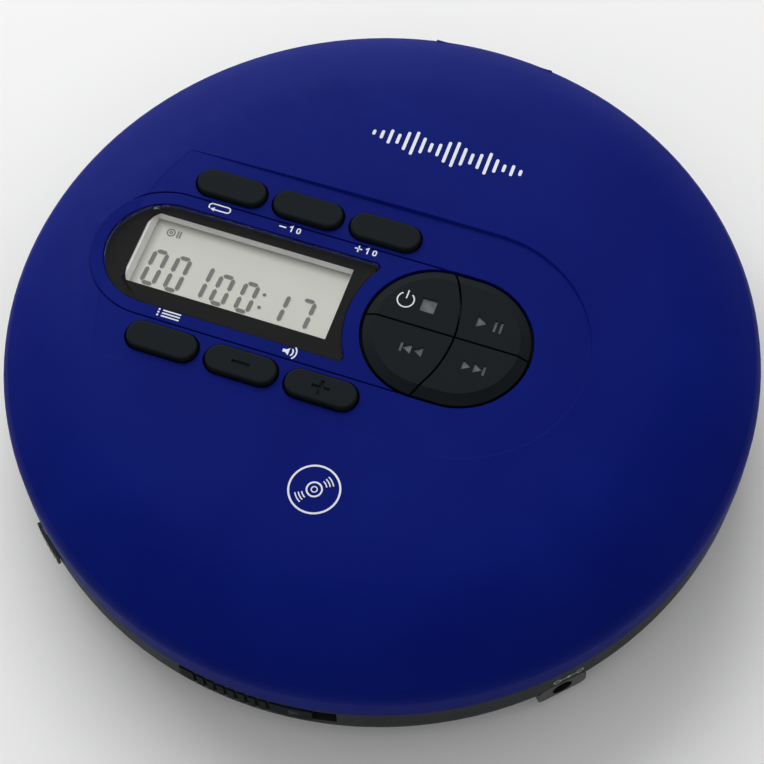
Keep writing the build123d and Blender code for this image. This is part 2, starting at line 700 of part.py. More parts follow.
def build_jacks():
    with BuildPart() as dc:
        radial_block(dc_angle, dc_z, dc_width, dc_height, 59.9, dc_reach, 1.3)
        radial_peg(dc_angle, dc_z, 1.95, 61.2, dc_reach + 1, mode=Mode.SUBTRACT)
        radial_peg(dc_angle, dc_z, 0.65, 61.0, dc_reach - 0.8)
    finish(dc, "dc_jack")

    with BuildPart() as phone:
        radial_block(phone_angle, phone_z, 8.0, 7.2, 55.3, 66.0)
        radial_peg(phone_angle, phone_z, 3.0, 66.0, base_radius)
        radial_peg(phone_angle, phone_z, 1.8, base_radius - phone_depth, 70, mode=Mode.SUBTRACT)
    finish(phone, "headphone_jack")

    with BuildPart() as hold:
        radial_block(hold_angle + 1, 7.55, 9.0, 7.9, 60.0, 64.0)
        # the switch's own slider well
        radial_block(hold_angle + 1, 10.0, 5.0, 1.6, 63.2, 64.1, mode=Mode.SUBTRACT)
    finish(hold, "hold_switch")

    with BuildPart() as lid_switch:
        x, y = rim_point(64.6, 20)
        block(x - 3.0, x + 3.0, y + 0.6, y + 3.4, board_top, 9.6)
        block(x - 2.4, x + 2.4, y + 1.6, y + 2.1, 9.6, 14.0)
    finish(lid_switch, "lid_switch")


def build_rim_controls():
    wall_in = base_radius - base_wall
    with BuildPart() as slider:
        sector(wall_in + 0.3, case_radius, slider_start, slider_end, slider_low, slider_high)
        sector(wall_in - 1.0, wall_in + 0.4, -9.0, 8.5, 9.0, 12.0)
        sector(wall_in - 1.5, wall_in - 0.4, -13.0, 11.0, 7.5, 13.2)
        # catch that holds the lid's hook
        sector(65.4, wall_in - 1.4, -1.6, 1.6, 12.5, 13.2)
        # finger ridges
        for i in range(8):
            angle = -8.4 + i * 1.62
            sector(case_radius - 0.5, case_radius + 1, angle - 0.3, angle + 0.3, 8, 13, mode=Mode.SUBTRACT)
    finish(slider, "open_slider")

    with BuildPart() as spring:
        spring_middle = -16.7
        length = 6.4
        x, y = rim_point(65.4, spring_middle)
        along_x, along_y = (math.cos(math.radians(spring_middle)), math.sin(math.radians(spring_middle)))
        start = (x - along_x * length / 2, y - along_y * length / 2, 9.5)
        coil(start, (along_x, along_y, 0), 0.9, 0.22, 0.8, length)
    finish(spring, "slider_spring")

    with BuildPart() as knob:
        sector(base_radius + 0.2, base_radius + 0.8, hold_angle - 3.1, hold_angle + 3.1, 8.1, 11.7)
        sector(64.4, base_radius + 0.4, hold_angle - 1.0, hold_angle + 1.0, 9.2, 10.8)
        for i in range(5):
            angle = hold_angle - 2.2 + i * 1.1
            sector(base_radius + 0.5, base_radius + 2, angle - 0.22, angle + 0.22, 7, 13, mode=Mode.SUBTRACT)
    finish(knob, "hold_knob")


# ---- drive ----
def build_chassis():
    with BuildPart() as chassis:
        with BuildSketch(Plane.XY.offset(plate_low)):
            Circle(66.0)
            with Locations((-120 / 2 - 21, 0)):
                Rectangle(120, 140, mode=Mode.SUBTRACT)
            with Locations((0, 27 + 40)):
                Rectangle(140, 80, mode=Mode.SUBTRACT)
            with Locations((0, -37.5 - 40)):
                Rectangle(140, 80, mode=Mode.SUBTRACT)
            # cut back where the jacks and the corner of the case are
            with Locations((60, 30)):
                Rectangle(16, 22, mode=Mode.SUBTRACT)
            with Locations((62, -36)):
                Rectangle(26, 18, mode=Mode.SUBTRACT)
            with Locations((39, 0)):
                Rectangle(50.0, 18.6, mode=Mode.SUBTRACT)
            with Locations(*damper_places):
                Circle(2.6, mode=Mode.SUBTRACT)
            Circle(4.6, mode=Mode.SUBTRACT)
            with Locations((motor_x, motor_y)):
                Circle(6.1, mode=Mode.SUBTRACT)
        extrude(amount=plate_thick)
        # lugs that hold the ends of the two guide rods
        for y in (-rod_y, rod_y):
            for x0, x1 in ((12.2, 13.8), (63.9, 65.2)):
                block(x0, x1, y - 1.5, y + 1.5, 8.8, plate_low + 0.1)
        for y in (-rod_y, rod_y):
            rod_along("x", (38.75, y, rod_z), rod_radius, 53.1, mode=Mode.SUBTRACT)
        # stiffening rib along the back
        block(-19, 40, 25.8, 27.0, plate_top - 0.1, plate_top + 1.6)
    finish(chassis, "chassis_plate")

    with BuildPart() as dampers:
        for x, y in damper_places:
            turned([(1.65, 10.8), (3.6, 10.8), (3.8, 11.2), (3.8, plate_low), (2.5, plate_low),
                    (2.5, plate_top),
                    (3.8, plate_top), (3.8, 14.0), (3.6, 14.4), (1.65, 14.4)], x, y)
    finish(dampers, "rubber_dampers")

    with BuildPart() as rods:
        for y in (-rod_y, rod_y):
            rod_along("x", (38.75, y, rod_z), rod_radius, 53.1)
    finish(rods, "guide_rods")


def build_spindle():
    with BuildPart() as motor:
        turned([(0, 5.0), (8.6, 5.0), (10.0, 6.0), (10.0, plate_low), (0, plate_low)])
        post(0, 0, 4.3, plate_low, plate_low + 0.8)
        post(0, 0, shaft_radius + 0.05, 5.6, 14, mode=Mode.SUBTRACT)
    finish(motor, "spindle_motor")

    with BuildPart() as shaft:
        post(0, 0, shaft_radius, 6.0, 20.5)
    finish(shaft, "spindle_shaft")

    with BuildPart() as hub:
        turned([(0, 13.9), (4.0, 13.9), (4.0, 17.0), (14.2, 17.0), (14.2, 18.2),
                (13.9, disc_seat), (9.0, disc_seat),
                (9.0, disc_seat - 0.3), (7.4, disc_seat - 0.3), (7.4, 20.6), (6.3, 21.4), (0, 21.4)])
        post(0, 0, shaft_radius, 13, 20.5, mode=Mode.SUBTRACT)
        with PolarLocations(6.3, 3):
            with Locations((0, 0, 19.3)):
                Box(2.6, 3.2, 1.3, align=LOW, mode=Mode.SUBTRACT)
    finish(hub, "spindle_hub")

    with BuildPart() as clips:
        with PolarLocations(6.2, 3):
            with Locations((0, 0, 19.4)):
                Box(2.2, 2.9, 1.1, align=LOW)
    finish(clips, "hub_clips")


def build_pickup():
    back, front = lens_start - sled_back, lens_start + sled_ahead
    with BuildPart() as sled:
        block(back, front, -8.5, 8.5, 8.0, 15.0)
        fillet(sled.edges().filter_by(Axis.Z), 1.2)
        block(lens_start - 4.8, lens_start + 4.8, -4.8, 4.8, 11.0, 16.0, mode=Mode.SUBTRACT)
        block(back + 1.2, back + 3.6, -6.0, 6.0, 13.6, 16.0, mode=Mode.SUBTRACT)
        for x0 in (back + 0.6, front - 4.6):
            block(x0, x0 + 4.0, 8.0, 13.0, 8.7, 12.0)
        block(back + 4.5, back + 10.5, -12.6, -8.0, 8.7, 12.0)
        rod_along("x", (lens_start, rod_y, rod_z), rod_radius + 0.04, 40, mode=Mode.SUBTRACT)
        block(back, front, -12.7, -9.6, rod_z - 1.3, rod_z + 1.3, mode=Mode.SUBTRACT)
    finish(sled, "pickup_sled")

    with BuildPart() as rack:
        block(-10.5, 30.5, -14.85, -12.9, 8.0, 10.4)
        block(17, 27, -12.9, -8.5, 8.0, 8.5)
        first = math.ceil((-9.6 - idler_x) / tooth_pitch - 0.5)
        last = math.floor((29.6 - idler_x) / tooth_pitch - 0.5)
        with BuildSketch(Plane.XY.offset(8.0)):
            for i in range(first, last + 1):
                with Locations((idler_x + (i + 0.5) * tooth_pitch, 0)):
                    Polygon((-0.29 * tooth_pitch, -14.75), (-0.13 * tooth_pitch, -16.1),
                            (0.13 * tooth_pitch, -16.1),
                            (0.29 * tooth_pitch, -14.75), align=None)
        extrude(amount=2.4)
    finish(rack, "sled_rack")

    with BuildPart() as holder:
        block(lens_start - 4.3, lens_start + 4.3, -4.3, 4.3, 12.4, 15.7)
        post(lens_start, 0, 2.6, 15.7, 16.7)
        post(lens_start, 0, 1.9, 12, 17, mode=Mode.SUBTRACT)
    finish(holder, "lens_holder")

    with BuildPart() as lens:
        turned([(0, 15.4), (1.85, 15.4), (1.85, 16.6), (1.4, 17.0), (0.7, 17.22), (0, 17.3)], lens_start, 0)
    finish(lens, "objective_lens")


def build_feed():
    with BuildPart() as idler:
        gear_wheel(idler_x, idler_y, idler_large, 5.8, 7.4, mesh_angle)
        gear_wheel(idler_x, idler_y, idler_small, 7.4, 10.4, 90.0)
        post(idler_x, idler_y, pin_radius + 0.05, 5, 11, mode=Mode.SUBTRACT)
        # web holes in the large wheel
        with Locations((idler_x, idler_y, 5)):
            with PolarLocations(8.2, 5):
                Cylinder(1.9, 2.4, align=LOW, mode=Mode.SUBTRACT)
    finish(idler, "idler_gear")

    with BuildPart() as stud:
        post(idler_x, idler_y, pin_radius, 5.0, plate_low)
        post(idler_x, idler_y, 2.0, 4.9, 5.5)
        post(idler_x, idler_y, 2.4, 10.8, plate_low)
    finish(stud, "idler_pin")

    with BuildPart() as pinion:
        gear_wheel(motor_x, motor_y, pinion_teeth, 5.6, 7.6, mesh_angle + 180 + 180 / pinion_teeth)
        post(motor_x, motor_y, 0.75, 5.6, 9.0)
    finish(pinion, "sled_pinion")

    with BuildPart() as motor:
        post(motor_x, motor_y, 6.0, 8.2, 16.2)
        fillet(motor.edges().group_by(Axis.Z)[-1], 0.8)
        post(motor_x, motor_y, 0.8, 7, 9.2, mode=Mode.SUBTRACT)
        block(motor_x - 7.6, motor_x + 7.6, motor_y - 3, motor_y + 3, 11.4, plate_low)
    finish(motor, "sled_motor")


def build_feet_and_screws():
    with BuildPart() as feet:
        for x, y in foot_places:
            post(x, y, 4.0, 0, foot_height + 0.4)
        chamfer(feet.edges().group_by(Axis.Z)[0], 0.25)
    finish(feet, "feet")

    rim_places = [rim_point(deck_screw_radius - 0.2, angle) for angle in deck_screw_angles]
    screws("base_screws", base_screw_places, 2.2, (0.8, 1.9), 0.9, (1.9, 9.0))
    screws("deck_screws", rim_places, 1.8, (deck_top, deck_top + 0.9), 0.9, (9.4, deck_top))
    screws("chassis_screws", damper_places, 3.0, (14.4, 15.4), 0.8, (9.4, 14.4))
    screws("lid_screws", lid_screw_places, 2.1, (22.4, 23.4), 0.9, (23.4, 26.4))


build_lid_shell()
build_lid_liner()
build_display()
build_switches()
build_buttons()
build_keys()
build_hinge()
build_base_shell()
build_deck()
build_battery()
build_boards()
build_jacks()
build_rim_controls()
build_chassis()
build_spindle()
build_pickup()
build_feed()
build_feet_and_screws()
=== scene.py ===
import json
import math

import bmesh
import bpy
from mathutils import Matrix, Vector


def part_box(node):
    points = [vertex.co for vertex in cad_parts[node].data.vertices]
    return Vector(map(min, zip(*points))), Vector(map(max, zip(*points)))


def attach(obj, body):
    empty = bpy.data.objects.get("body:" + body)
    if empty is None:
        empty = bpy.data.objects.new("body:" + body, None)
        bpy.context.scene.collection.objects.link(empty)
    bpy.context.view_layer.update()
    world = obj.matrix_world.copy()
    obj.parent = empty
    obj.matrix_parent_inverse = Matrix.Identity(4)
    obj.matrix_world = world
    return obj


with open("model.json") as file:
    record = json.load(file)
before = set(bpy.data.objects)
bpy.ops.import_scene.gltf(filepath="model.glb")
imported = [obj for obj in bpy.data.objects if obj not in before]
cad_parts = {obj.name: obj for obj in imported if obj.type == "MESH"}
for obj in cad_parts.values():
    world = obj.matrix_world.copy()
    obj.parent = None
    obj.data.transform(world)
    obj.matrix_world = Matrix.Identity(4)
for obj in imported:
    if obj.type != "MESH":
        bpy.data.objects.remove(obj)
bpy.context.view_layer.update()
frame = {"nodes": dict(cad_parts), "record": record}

# Sizes below are in millimetres, in the CAD frame, and become metres where geometry is made.
MM = 0.001
LID, BASE = "lid", "base"

# ---- places read from the frame ----


def span(node):
    """Lowest and highest corners of a CAD node, in millimetres."""
    low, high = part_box(node)
    return low / MM, high / MM


def middle(node):
    low, high = span(node)
    return (low + high) / 2


LCD_TOP = span("lcd_panel")[1].z
BEZEL_LOW, BEZEL_HIGH = span("display_bezel")
WINDOW_BOTTOM = span("display_window")[0].z
BASE_RADIUS = span("base_shell")[1].x
CASE_RADIUS = span("lid_shell")[1].x

# ---- sizes of the CAD part that its boxes don't give ----

PANEL_Z = 28.6                   # flat panel in the lid
BEZEL_WALL = 1.4                 # width of the display frame
BEZEL_SHOWN = 0.4                # how much of that width shows inside the black border
POD_X, WINDOW_HALF = -42.9, 10.8     # middle and radius of the window's round left end
CLUSTER, WINDOW_ARC = (12.64, 0.0), 18.9     # middle of the keys, and the window's hollow right side
SIGN_DEPTH = 0.30                # how deep the signs are sunk into the keys
DISC_SEAT, WELL_FLOOR = 18.7, 17.7   # where the disc rests on the hub, and the deck below it
DOME_APEX, DOME_DROP, DOME_RADIUS = 29.3, 0.65, 51.5     # top, fall to the edge, and edge of the dome
SHOULDER_SLOPE = 0.12            # change of slope at the dome's edge
SHOULDER_BLEND = 9.0             # how far to either side the shading blends it


def dome(x, y):
    """Height of the lid's dome."""
    return DOME_APEX - DOME_DROP * (x * x + y * y) / DOME_RADIUS ** 2


# ---- materials ----


class Shader:
    """A Principled material with procedural colour, roughness and bump."""

    def __init__(self, name):
        self.material = bpy.data.materials.new(name)
        self.material.use_nodes = True
        self.tree = self.material.node_tree
        self.surface = self.tree.nodes["Principled BSDF"]
        self.place = self.node("ShaderNodeTexCoord").outputs["Object"]
        self.normal = None

    def node(self, kind, **settings):
        made = self.tree.nodes.new(kind)
        for key, value in settings.items():
            setattr(made, key, value)
        return made

    def link(self, source, target):
        self.tree.links.new(source, target)

    def stretched(self, scale):
        """Object coordinates stretched by a factor for each axis."""
        mapping = self.node("ShaderNodeMapping")
        mapping.inputs["Scale"].default_value = scale
        self.link(self.place, mapping.inputs["Vector"])
        return mapping.outputs["Vector"]

    def noise(self, size, detail=3.0, place=None, rough=0.5):
        """Noise whose features are about size millimetres across."""
        made = self.node("ShaderNodeTexNoise")
        made.inputs["Scale"].default_value = 1 / (size * MM)
        made.inputs["Detail"].default_value = detail
        made.inputs["Roughness"].default_value = rough
        self.link(place or self.place, made.inputs["Vector"])
        return made.outputs["Fac"]

    def spread(self, value, low, high, start=0.3, end=0.7):
        """Maps a value to a range."""
        made = self.node("ShaderNodeMapRange")
        made.inputs["From Min"].default_value = start
        made.inputs["From Max"].default_value = end
        made.inputs["To Min"].default_value = low
        made.inputs["To Max"].default_value = high
        self.link(value, made.inputs["Value"])
        return made.outputs["Result"]

    def mix(self, factor, first, second):
        """Mixes two colours, or colour outputs."""
        made = self.node("ShaderNodeMix", data_type="RGBA")
        self.link(factor, made.inputs["Factor"])
        for value, socket in ((first, made.inputs[6]), (second, made.inputs[7])):
            if isinstance(value, tuple):
                socket.default_value = (*value, 1.0)
            else:
                self.link(value, socket)
        return made.outputs[2]

    def bump(self, height, depth, invert=False):
        """Adds relief, depth millimetres high, over the relief so far."""
        made = self.node("ShaderNodeBump", invert=invert)
        made.inputs["Distance"].default_value = depth * MM
        made.inputs["Strength"].default_value = 1.0
        self.link(height, made.inputs["Height"])
        if self.normal:
            self.link(self.normal, made.inputs["Normal"])
        self.normal = made.outputs["Normal"]

    def rounded(self, radius):
        """Softens sharp edges in the shading."""
        made = self.node("ShaderNodeBevel", samples=4)
        made.inputs["Radius"].default_value = radius * MM
        self.normal = made.outputs["Normal"]

    def soften_shoulder(self):
        """Blends the shading over the change of slope where the dome turns down to the shoulder."""
        split = self.node("ShaderNodeSeparateXYZ")
        self.link(self.place, split.inputs["Vector"])
        flat = self.node("ShaderNodeCombineXYZ")
        self.link(split.outputs["X"], flat.inputs["X"])
        self.link(split.outputs["Y"], flat.inputs["Y"])
        radius = self.node("ShaderNodeVectorMath", operation="LENGTH")
        self.link(flat.outputs["Vector"], radius.inputs[0])
        nearness = self.spread(self.distance_from(radius.outputs["Value"], DOME_RADIUS * MM), 1.0, 0.0, 0.0,
                               SHOULDER_BLEND * MM)
        height = self.node("ShaderNodeMath", operation="MULTIPLY")
        self.link(nearness, height.inputs[0])
        self.link(nearness, height.inputs[1])
        # a corner of this slope, rounded over the blend width, loses this much height in its middle
        self.bump(height.outputs[0], SHOULDER_SLOPE * SHOULDER_BLEND / 4, invert=True)

    def distance_from(self, value, place):
        """How far a value is from a fixed place, either way."""
        away = self.node("ShaderNodeMath", operation="SUBTRACT")
        self.link(value, away.inputs[0])
        away.inputs[1].default_value = place
        size = self.node("ShaderNodeMath", operation="ABSOLUTE")
        self.link(away.outputs[0], size.inputs[0])
        return size.outputs[0]

    def set(self, **values):
        """Sets sockets of the shader to fixed values, with _ for a space in a socket's name."""
        for key, value in values.items():
            socket = self.surface.inputs[key.replace("_", " ")]
            socket.default_value = value

    def finish(self, colour, roughness):
        """Joins colour, roughness and relief to the shader."""
        self.link(colour, self.surface.inputs["Base Color"])
        self.link(roughness, self.surface.inputs["Roughness"])
        if self.normal:
            self.link(self.normal, self.surface.inputs["Normal"])
        return self.material


def moulded(name, dark, light, rough, grain=0.25, depth=0.006, edge=0.12, patch=9.0, specular=0.5):
    """Moulded plastic or rubber: a fine grain, and slow changes of tone."""
    made = Shader(name)
    if edge:
        made.rounded(edge)
    speckle = made.noise(grain, 2.0)
    slow = made.noise(patch, 3.0)
    made.bump(speckle, depth)
    made.set(Specular_IOR_Level=specular)
    tone = made.mix(made.spread(slow, 0.0, 1.0), dark, light)
    fine = made.mix(made.spread(speckle, 0.0, 0.35), tone, light)
    return made.finish(fine, made.spread(slow, *rough))


def metal(name, dark, light, rough, along=(1, 1, 1)):
    """Metal with a fine grain, drawn out into lines where the axes have different factors."""
    made = Shader(name)
    made.rounded(0.08)
    lines = made.noise(0.5, 4.0, made.stretched(along))
    made.bump(lines, 0.003)
    made.set(Metallic=1.0)
    return made.finish(made.mix(made.spread(lines, 0, 1), dark, light), made.spread(lines, *rough))


def lid_paint():
    """Deep blue satin plastic with very fine pale specks."""
    made = Shader("lid_blue")
    made.rounded(0.18)
    made.soften_shoulder()
    speckle = made.noise(0.16, 2.0, rough=0.6)
    slow = made.noise(26.0, 2.0)
    scuff = made.noise(3.0, 6.0, rough=0.7)
    made.bump(speckle, 0.004)
    made.set(Specular_IOR_Level=0.04)
    tone = made.mix(made.spread(slow, 0.0, 1.0), (0.0008, 0.0052, 0.134), (0.0012, 0.0080, 0.153))
    fine = made.mix(made.spread(speckle, 0.0, 0.30, 0.55, 0.85), tone, (0.006, 0.018, 0.19))
    return made.finish(fine, made.spread(scuff, 0.46, 0.54))


def board_green():
    """Solder mask over copper tracks, with pads."""
    made = Shader("board_green")
    tracks = made.node("ShaderNodeTexBrick", offset=0.35, squash=1.6)
    tracks.inputs["Scale"].default_value = 260.0
    tracks.inputs["Mortar Size"].default_value = 0.012
    made.link(made.place, tracks.inputs["Vector"])
    pads = made.node("ShaderNodeTexVoronoi")
    pads.inputs["Scale"].default_value = 300.0
    made.link(made.place, pads.inputs["Vector"])
    ground = made.mix(made.spread(made.noise(4.0), 0, 1), (0.004, 0.060, 0.020), (0.006, 0.085, 0.030))
    routed = made.mix(tracks.outputs["Fac"], ground, (0.012, 0.16, 0.06))
    pad = made.spread(pads.outputs["Distance"], 1.0, 0.0, 0.10, 0.14)
    dotted = made.mix(pad, routed, (0.50, 0.48, 0.42))
    made.bump(tracks.outputs["Fac"], 0.03)
    return made.finish(dotted, made.spread(made.noise(2.0), 0.22, 0.36))


def display_glass():
    """The pale reflective face of the display, a little uneven and finely grained."""
    made = Shader("lcd_face")
    grain = made.noise(0.12, 2.0)
    cloud = made.noise(14.0, 2.0)
    tone = made.mix(made.spread(cloud, 0, 1), (0.62, 0.625, 0.565), (0.66, 0.665, 0.605))
    made.bump(grain, 0.002)
    made.set(Specular_IOR_Level=0.3)
    grained = made.mix(made.spread(grain, 0, 0.5), tone, (0.80, 0.80, 0.74))
    # the frame keeps light off the strips beside its rear and left walls
    split = made.node("ShaderNodeSeparateXYZ")
    made.link(made.place, split.inputs["Vector"])
    rear = (BEZEL_HIGH.y - BEZEL_WALL) * MM
    left = (BEZEL_LOW.x + BEZEL_WALL) * MM
    darkest = 0.75
    behind = made.spread(split.outputs["Y"], 0.0, darkest, rear - 0.0019, rear)
    beside = made.spread(split.outputs["X"], 0.0, darkest, left + 0.0017, left)
    deeper = made.node("ShaderNodeMath", operation="MAXIMUM")
    made.link(behind, deeper.inputs[0])
    made.link(beside, deeper.inputs[1])
    shaded = made.mix(deeper.outputs[0], grained, (0.30, 0.30, 0.27))
    return made.finish(shaded, made.spread(grain, 0.32, 0.45))


def clear_window():
    """Clear moulded plastic."""
    made = Shader("window_clear")
    made.rounded(0.6)
    haze = made.noise(6.0, 4.0)
    # a thin see-through shell; its high index gives back part of the gloss that the low alpha takes away
    made.set(Alpha=0.06, IOR=3.0, Specular_IOR_Level=0.5)
    made.bump(made.noise(9.0, 1.0), 0.001)
    tinted = made.mix(made.spread(haze, 0, 1), (0.015, 0.016, 0.017), (0.03, 0.03, 0.03))
    return made.finish(tinted, made.spread(haze, 0.02, 0.05))


def cell_jacket():
    """Dark printed jacket with a copper-coloured band at one end, and bare metal at both ends."""
    made = Shader("cell_jacket")
    split = made.node("ShaderNodeSeparateXYZ")
    made.link(made.place, split.inputs["Vector"])
    ends = made.node("ShaderNodeMath", operation="ABSOLUTE")
    made.link(split.outputs["Y"], ends.inputs[0])
    # the two cells lie opposite ways round
    between = middle("battery_cells").x * MM
    way = made.spread(split.outputs["X"], 1.0, -1.0, between - 0.0001, between + 0.0001)
    along = made.node("ShaderNodeMath", operation="MULTIPLY")
    made.link(split.outputs["Y"], along.inputs[0])
    made.link(way, along.inputs[1])
    band_start, bare_start = 0.0105, 0.0232
    banded = made.spread(along.outputs[0], 0, 1, band_start, band_start + 0.0003)
    jacket = made.mix(banded, (0.02, 0.022, 0.026), (0.42, 0.17, 0.05))
    bare = made.spread(ends.outputs[0], 0, 1, bare_start, bare_start + 0.0002)
    colour = made.mix(bare, jacket, (0.62, 0.62, 0.60))
    scratches = made.noise(1.2, 5.0)
    made.bump(scratches, 0.004)
    sheen = made.spread(ends.outputs[0], 0.1, 1.0, bare_start, bare_start + 0.0002)
    made.link(sheen, made.surface.inputs["Metallic"])
    return made.finish(colour, made.spread(scratches, 0.25, 0.40))


def coated_lens():
    """Clear lens with a blue to violet coating."""
    made = Shader("lens_glass")
    ring = made.noise(1.0, 2.0)
    made.set(Transmission_Weight=0.7, IOR=1.6, Coat_Weight=1.0)
    return made.finish(made.mix(made.spread(ring, 0, 1), (0.25, 0.42, 0.75), (0.50, 0.30, 0.75)),
                       made.spread(ring, 0.02, 0.05))


# one material for each slot of the CAD part
MATERIALS = {
    "lid_blue": lid_paint(),
    "base_grey": moulded("base_grey", (0.010, 0.0128, 0.0146), (0.014, 0.0170, 0.0192), (0.50, 0.60),
                         0.3, 0.010, specular=0.16),
    "key_charcoal": moulded("key_charcoal", (0.0080, 0.0106, 0.0124), (0.0098, 0.0126, 0.0146),
                            (0.60, 0.70), 0.22, 0.006, edge=0.10, patch=5.0, specular=0.05),
    "window_clear": clear_window(),
    "bezel_silver": moulded("bezel_silver", (0.80, 0.80, 0.77), (0.90, 0.90, 0.87), (0.25, 0.35), 0.3, 0.003,
                            patch=6.0),
    "lcd_grey": display_glass(),
    "board_green": board_green(),
    "chip_black": moulded("chip_black", (0.012, 0.012, 0.013), (0.022, 0.022, 0.024),
                          (0.45, 0.60), 0.12, 0.006),
    "metal_steel": metal("metal_steel", (0.42, 0.42, 0.43), (0.62, 0.62, 0.63), (0.24, 0.40), (0.15, 3, 3)),
    "screw_black": metal("screw_black", (0.04, 0.04, 0.045), (0.09, 0.09, 0.10), (0.30, 0.45)),
    "spring_steel": metal("spring_steel", (0.55, 0.55, 0.56), (0.75, 0.75, 0.76), (0.14, 0.28), (3, 0.4, 3)),
    "rubber_black": moulded("rubber_black", (0.010, 0.010, 0.011), (0.020, 0.020, 0.021),
                            (0.70, 0.85), 0.2, 0.012),
    "jack_black": moulded("jack_black", (0.006, 0.006, 0.007), (0.011, 0.011, 0.012),
                          (0.30, 0.42), 0.25, 0.004),
    "cell_jacket": cell_jacket(),
    "can_metal": metal("can_metal", (0.55, 0.55, 0.56), (0.72, 0.72, 0.73), (0.20, 0.34), (3, 3, 0.2)),
    "drive_black": moulded("drive_black", (0.017, 0.018, 0.020), (0.027, 0.029, 0.032),
                           (0.42, 0.54), 0.3, 0.008),
    "gear_white": moulded("gear_white", (0.62, 0.61, 0.56), (0.72, 0.71, 0.66), (0.35, 0.45), 0.4, 0.004),
    "lens_glass": coated_lens(),
}
# paints and metal of the marks and small pieces
PRINT = moulded("print_white", (0.66, 0.68, 0.72), (0.80, 0.81, 0.84), (0.45, 0.60), 0.2, 0.004, edge=0)
PRINT_GREY = moulded("print_grey", (0.30, 0.32, 0.34), (0.42, 0.43, 0.45), (0.45, 0.60), 0.2, 0.004, edge=0)
SEGMENT = moulded("segment_grey", (0.125, 0.130, 0.120), (0.165, 0.170, 0.158), (0.50, 0.62), 0.3, 0.002,
                  edge=0)
SHADE = moulded("segment_shade", (0.47, 0.475, 0.43), (0.52, 0.525, 0.475), (0.50, 0.62), 0.3, 0.002, edge=0)
INLAY = moulded("sign_inlay", (0.020, 0.021, 0.024), (0.125, 0.128, 0.138), (0.40, 0.60), 0.2, 0.01, edge=0,
                patch=1.8)
BORDER = moulded("window_border", (0.0030, 0.0032, 0.0034), (0.0038, 0.0040, 0.0042), (0.55, 0.65), 2.0,
                 0.0002, edge=0, specular=0.05)
# painted shade: near-black colour that stands for the shade inside the sunk chevrons and arrow on the rim
SUNK_SHADE = moulded("sunk_mark_shade", (0.0015, 0.0015, 0.0016), (0.003, 0.003, 0.0032), (0.55, 0.70), 0.2, 0.004,
               edge=0)
COPPER = metal("coil_copper", (0.55, 0.22, 0.09), (0.75, 0.34, 0.15), (0.25, 0.40), (4, 4, 0.3))


def dress_nodes():
    """Gives every CAD node the material of its slot."""
    slots = {row["node"]: row["material_slot"] for row in frame["record"]["subparts"]}
    for name, piece in frame["nodes"].items():
        for place in piece.material_slots:
            place.material = MATERIALS[slots[name]]


# ---- thin printed or inlaid marks ----


def arc(cx, cy, radius, start, end, count=24):
    """Points along an arc, angles in degrees."""
    turns = [math.radians(start + (end - start) * i / count) for i in range(count + 1)]
    return [(cx + radius * math.cos(t), cy + radius * math.sin(t)) for t in turns]


def stroke(path, width):
    """The outline of a line of one width along an open path."""
    left, right = [], []
    for i, point in enumerate(path):
        before = Vector(path[max(i - 1, 0)])
        after = Vector(path[min(i + 1, len(path) - 1)])
        here = Vector(point)
        into = (here - before).normalized() if i else (after - here).normalized()
        out = (after - here).normalized() if i < len(path) - 1 else into
        along = (into + out).normalized()
        across = Vector((-along.y, along.x))
        reach = width / 2 / max(across.dot(Vector((-into.y, into.x))), 0.5)
        left.append(tuple(here + across * reach))
        right.append(tuple(here - across * reach))
    return left + right[::-1]


def circle(cx, cy, radius, count):
    return arc(cx, cy, radius, 0, 360, count)[:-1]


def bar(x0, y0, x1, y1):
    return [(x0, y0), (x1, y0), (x1, y1), (x0, y1)]


def pill(cx, cy, length, width, count):
    """A rounded bar along X."""
    half = (length - width) / 2
    return arc(cx + half, cy, width / 2, -90, 90, count) + arc(cx - half, cy, width / 2, 90, 270, count)


def slab(mesh, outline, lift, low, high):
    """A thin solid over an outline; lift places a point and a height on the surface."""
    top = [mesh.verts.new(lift(x, y, high)) for x, y in outline]
    bottom = [mesh.verts.new(lift(x, y, low)) for x, y in outline]
    mesh.faces.new(top)
    mesh.faces.new(bottom[::-1])
    for i in range(len(outline)):
        j = (i + 1) % len(outline)
        mesh.faces.new((bottom[i], bottom[j], top[j], top[i]))


def band(mesh, outer, inner, lift, low, high):
    """A thin solid between two outlines of the same number of points."""
    rings = [[mesh.verts.new(lift(x, y, z)) for x, y in ring] for ring, z in
             ((outer, high), (inner, high), (inner, low), (outer, low))]
    count = len(outer)
    for here, there in zip(rings, rings[1:] + rings[:1]):
        for i in range(count):
            j = (i + 1) % count
            mesh.faces.new((here[i], here[j], there[j], there[i]))


def on_panel(x, y, height):
    return Vector((x, y, PANEL_Z + height)) * MM


def on_dome(x, y, height):
    return Vector((x, y, dome(x, y) + height)) * MM


def at_height(z):
    """A flat surface at one height."""
    return lambda x, y, height: Vector((x, y, z + height)) * MM


def on_rim(radius):
    """The side wall: x runs along the rim from the front, in millimetres, and y is the height."""
    def lift(x, y, height):
        turn = x / radius
        reach = radius + height
        return Vector((reach * math.sin(turn), -reach * math.cos(turn), y)) * MM
    return lift


def piece(name, mesh, body, material, slot):
    """Makes an object of a mesh and says which body it rides on."""
    bmesh.ops.recalc_face_normals(mesh, faces=mesh.faces)
    data = bpy.data.meshes.new(name)
    mesh.to_mesh(data)
    mesh.free()
    made = bpy.data.objects.new(name, data)
    bpy.context.collection.objects.link(made)
    data.materials.append(material)
    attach(made, body)


def mark(name, outlines, lift, body, material, slot, low=-0.05, high=0.03, rings=()):
    """One printed mark made of several outlines and rings."""
    mesh = bmesh.new()
    for outline in outlines:
        slab(mesh, outline, lift, low, high)
    for outer, inner in rings:
        band(mesh, outer, inner, lift, low, high)
    piece(name, mesh, body, material, slot)


# ---- the display ----

